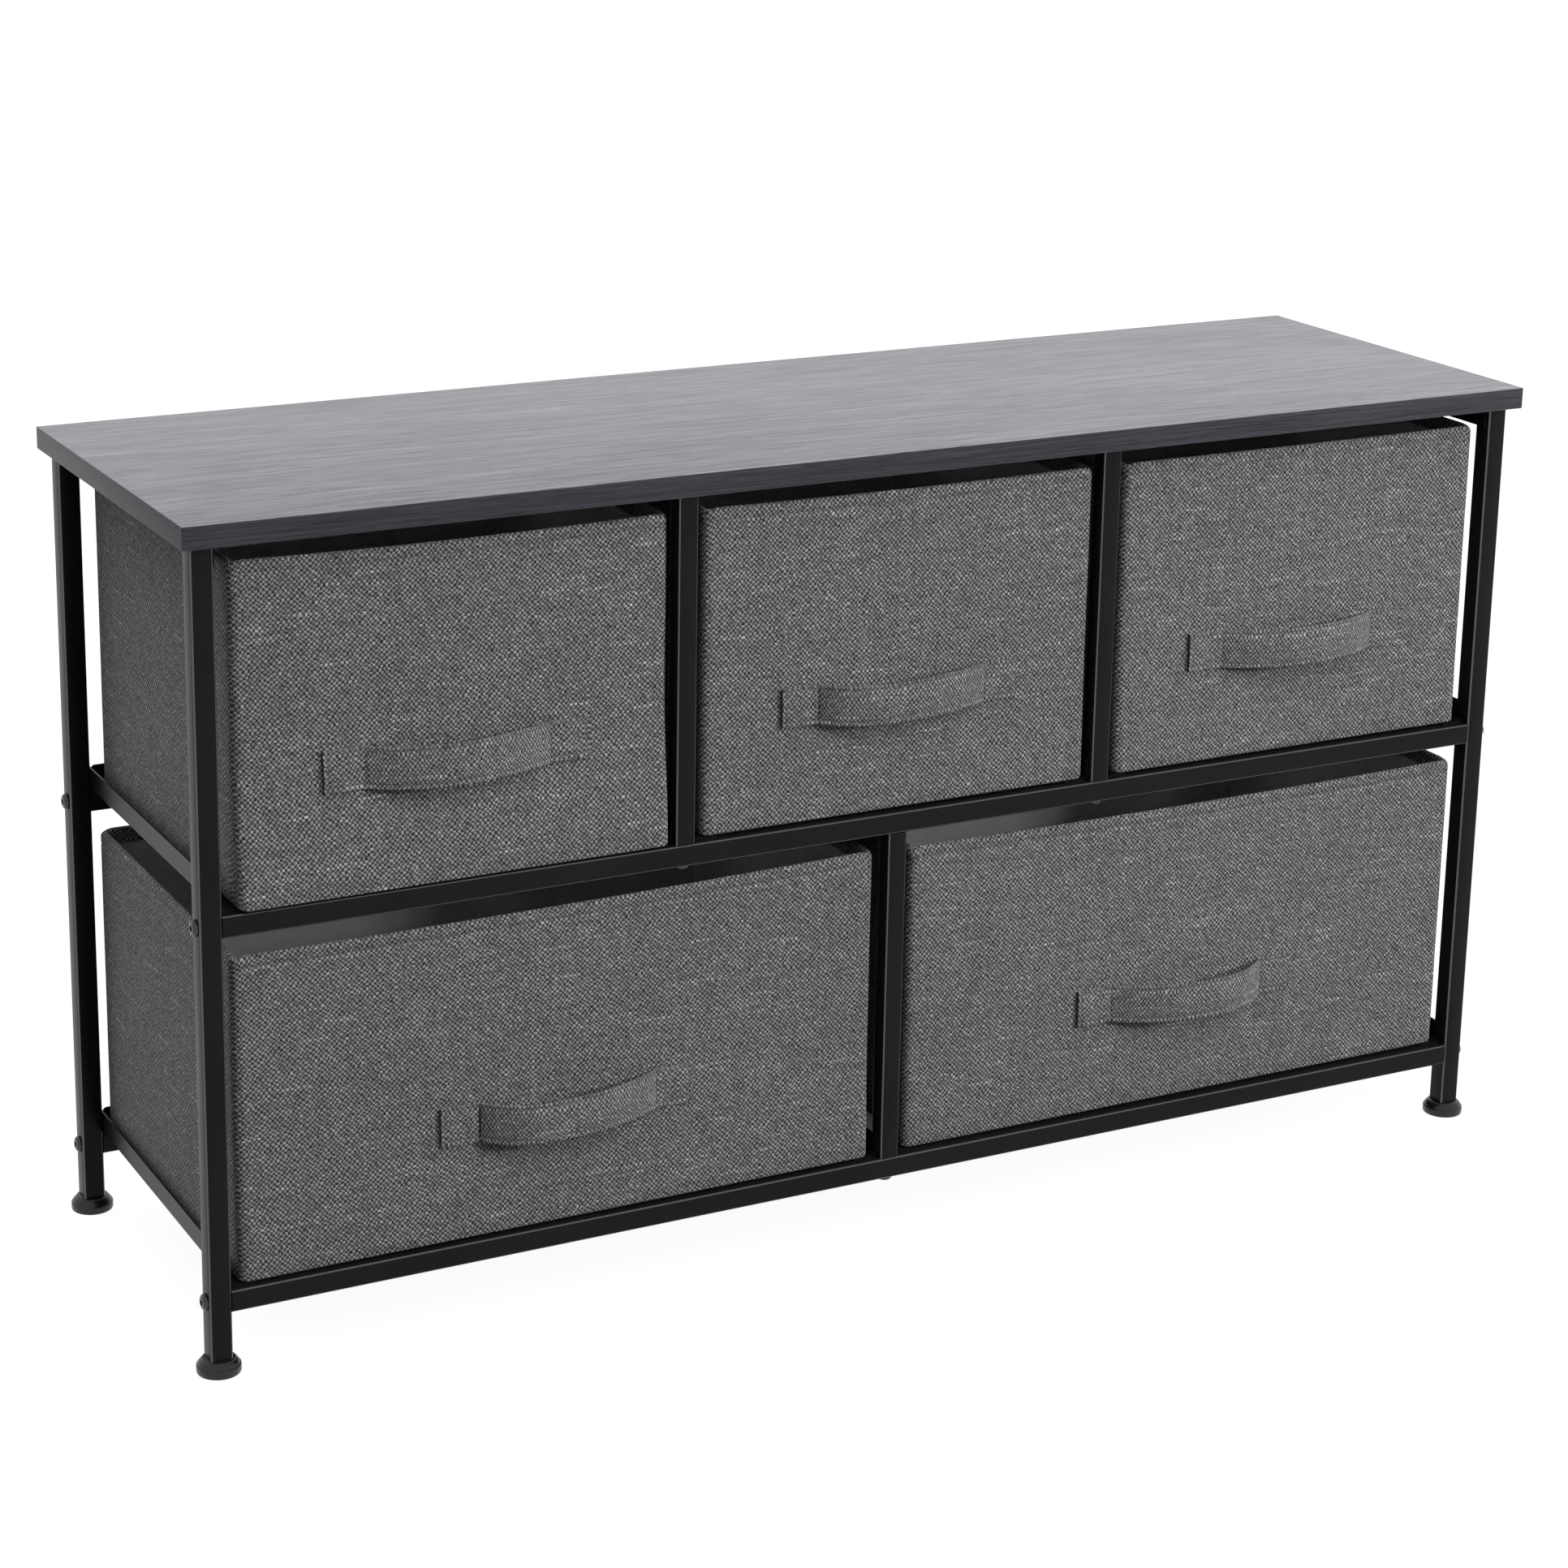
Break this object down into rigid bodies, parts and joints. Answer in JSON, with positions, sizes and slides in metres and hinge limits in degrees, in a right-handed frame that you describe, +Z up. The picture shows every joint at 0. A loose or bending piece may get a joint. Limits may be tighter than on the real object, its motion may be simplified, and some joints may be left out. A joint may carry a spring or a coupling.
{
  "type": "fabric drawer dresser",
  "caption": "Wide, low dresser: a grey laminated board on a black square-tube frame, with grey linen-look fabric drawers and self-fabric strap handles, three above two.",
  "frame": {"origin": "Centre of the bounding box on the floor", "axes": "X along the width, Y from the drawer fronts to the back, Z up; the drawers open towards -Y"},
  "size_m": [1, 0.306, 0.56],
  "materials": {
    "board_laminate": "matt laminated, grey grain",
    "black_paint": "satin powder coat",
    "black_plastic": "moulded, semi-matt",
    "black_steel": "black oxide",
    "grey_linen": "slubby plain weave",
    "strap_linen": "slubby plain weave, sewn",
    "grey_lining": "embossed non-woven lining over board"
  },
  "bodies": {
    "frame": {"tabletop": "board_laminate", "post_front_left": "black_paint", "foot_front_left": "black_plastic", "upper_divider_front_left": "black_paint", "bolt_mid_front_left": "black_steel", "bolt_low_front_left": "black_steel", "bolt_divider_front_left": "black_steel", "post_front_right": "black_paint", "foot_front_right": "black_plastic", "upper_divider_front_right": "black_paint", "bolt_mid_front_right": "black_steel", "bolt_low_front_right": "black_steel", "bolt_divider_front_right": "black_steel", "mid_rail_front": "black_paint", "low_rail_front": "black_paint", "lower_divider_front": "black_paint", "bolt_divider_front_lower": "black_steel", "post_rear_left": "black_paint", "foot_rear_left": "black_plastic", "upper_divider_rear_left": "black_paint", "bolt_mid_rear_left": "black_steel", "bolt_low_rear_left": "black_steel", "bolt_divider_rear_left": "black_steel", "post_rear_right": "black_paint", "foot_rear_right": "black_plastic", "upper_divider_rear_right": "black_paint", "bolt_mid_rear_right": "black_steel", "bolt_low_rear_right": "black_steel", "bolt_divider_rear_right": "black_steel", "mid_rail_rear": "black_paint", "low_rail_rear": "black_paint", "lower_divider_rear": "black_paint", "bolt_divider_rear_lower": "black_steel", "top_angle_left": "black_paint", "top_angle_right": "black_paint", "runner_upper_left_l": "black_paint", "runner_upper_left_r": "black_paint", "runner_upper_middle_l": "black_paint", "runner_upper_middle_r": "black_paint", "runner_upper_right_l": "black_paint", "runner_upper_right_r": "black_paint", "runner_lower_left_l": "black_paint", "runner_lower_left_r": "black_paint", "runner_lower_right_l": "black_paint", "runner_lower_right_r": "black_paint"},
    "bin_upper_left": {"drawer_upper_left": "grey_linen", "base_upper_left": "grey_lining", "handle_upper_left": "strap_linen"},
    "bin_upper_middle": {"drawer_upper_middle": "grey_linen", "base_upper_middle": "grey_lining", "handle_upper_middle": "strap_linen"},
    "bin_upper_right": {"drawer_upper_right": "grey_linen", "base_upper_right": "grey_lining", "handle_upper_right": "strap_linen"},
    "bin_lower_left": {"drawer_lower_left": "grey_linen", "base_lower_left": "grey_lining", "handle_lower_left": "strap_linen"},
    "bin_lower_right": {"drawer_lower_right": "grey_linen", "base_lower_right": "grey_lining", "handle_lower_right": "strap_linen"}
  },
  "joints": [
    {"name": "slide_upper_left", "type": "slide", "parent": "frame", "child": "bin_upper_left", "axis": [0, -1, 0], "range_m": [0, 0.26]},
    {"name": "slide_upper_middle", "type": "slide", "parent": "frame", "child": "bin_upper_middle", "axis": [0, -1, 0], "range_m": [0, 0.26]},
    {"name": "slide_upper_right", "type": "slide", "parent": "frame", "child": "bin_upper_right", "axis": [0, -1, 0], "range_m": [0, 0.26]},
    {"name": "slide_lower_left", "type": "slide", "parent": "frame", "child": "bin_lower_left", "axis": [0, -1, 0], "range_m": [0, 0.26]},
    {"name": "slide_lower_right", "type": "slide", "parent": "frame", "child": "bin_lower_right", "axis": [0, -1, 0], "range_m": [0, 0.26]}
  ]
}
